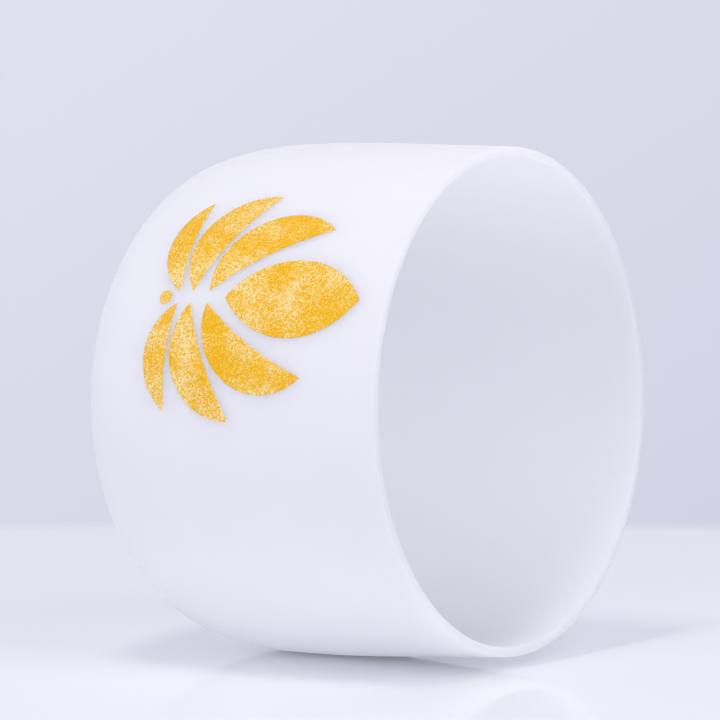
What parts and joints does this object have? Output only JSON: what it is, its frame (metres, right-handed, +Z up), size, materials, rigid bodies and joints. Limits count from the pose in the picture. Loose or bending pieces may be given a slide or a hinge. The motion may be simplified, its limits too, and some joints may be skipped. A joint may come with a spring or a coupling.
{
  "type": "singing bowl",
  "caption": "Deep frosted-quartz singing bowl with a domed closed end, lying on its side, with a gold lotus on its wall.",
  "frame": {"origin": "under the middle of the bowl, on the ground that it lies on", "axes": "+X towards the open mouth, parallel to the ground; +Z up; the bowl's own axis is raised 2 degrees from +X towards +Z; -Y is the side with the lotus"},
  "size_m": [0.172, 0.2078, 0.2081],
  "materials": {
    "frosted_quartz": "satin",
    "gold_leaf": "satin"
  },
  "bodies": {
    "root": {"bowl": "frosted_quartz", "lotus_crown_petal": "gold_leaf", "lotus_inner_petal_upper": "gold_leaf", "lotus_inner_petal_lower": "gold_leaf", "lotus_outer_petal_upper": "gold_leaf", "lotus_outer_petal_lower": "gold_leaf", "lotus_low_leaf_upper": "gold_leaf", "lotus_low_leaf_lower": "gold_leaf", "lotus_bead": "gold_leaf"}
  },
  "joints": []
}
